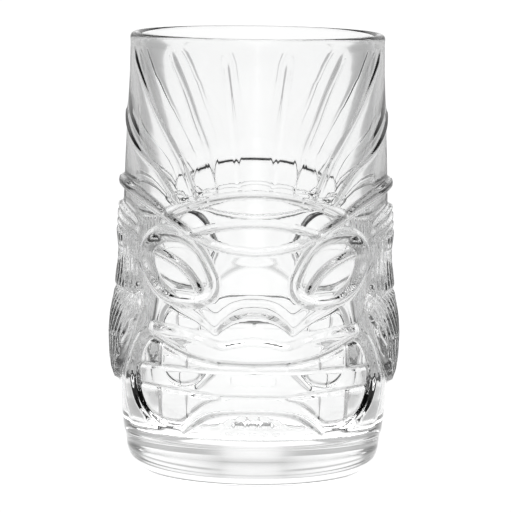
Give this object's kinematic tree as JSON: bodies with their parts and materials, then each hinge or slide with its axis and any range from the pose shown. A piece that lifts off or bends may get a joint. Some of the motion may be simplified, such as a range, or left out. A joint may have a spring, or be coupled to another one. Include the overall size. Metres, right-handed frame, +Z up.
{
  "type": "pressed glass tumbler",
  "caption": "Clear pressed glass tumbler with a carved-mask relief on its front and back, hair at its sides, a thick floor and a plain round foot.",
  "frame": {"origin": "centre of the foot's contact plane, on the glass's upright axis", "axes": "+Z up along the glass's axis, -Y out of the front face, +X to the right for someone looking at the front face"},
  "size_m": [0.0862, 0.083, 0.13],
  "materials": {
    "clear_glass": "gloss"
  },
  "bodies": {
    "root": {"glass_tumbler": "clear_glass"}
  },
  "joints": []
}
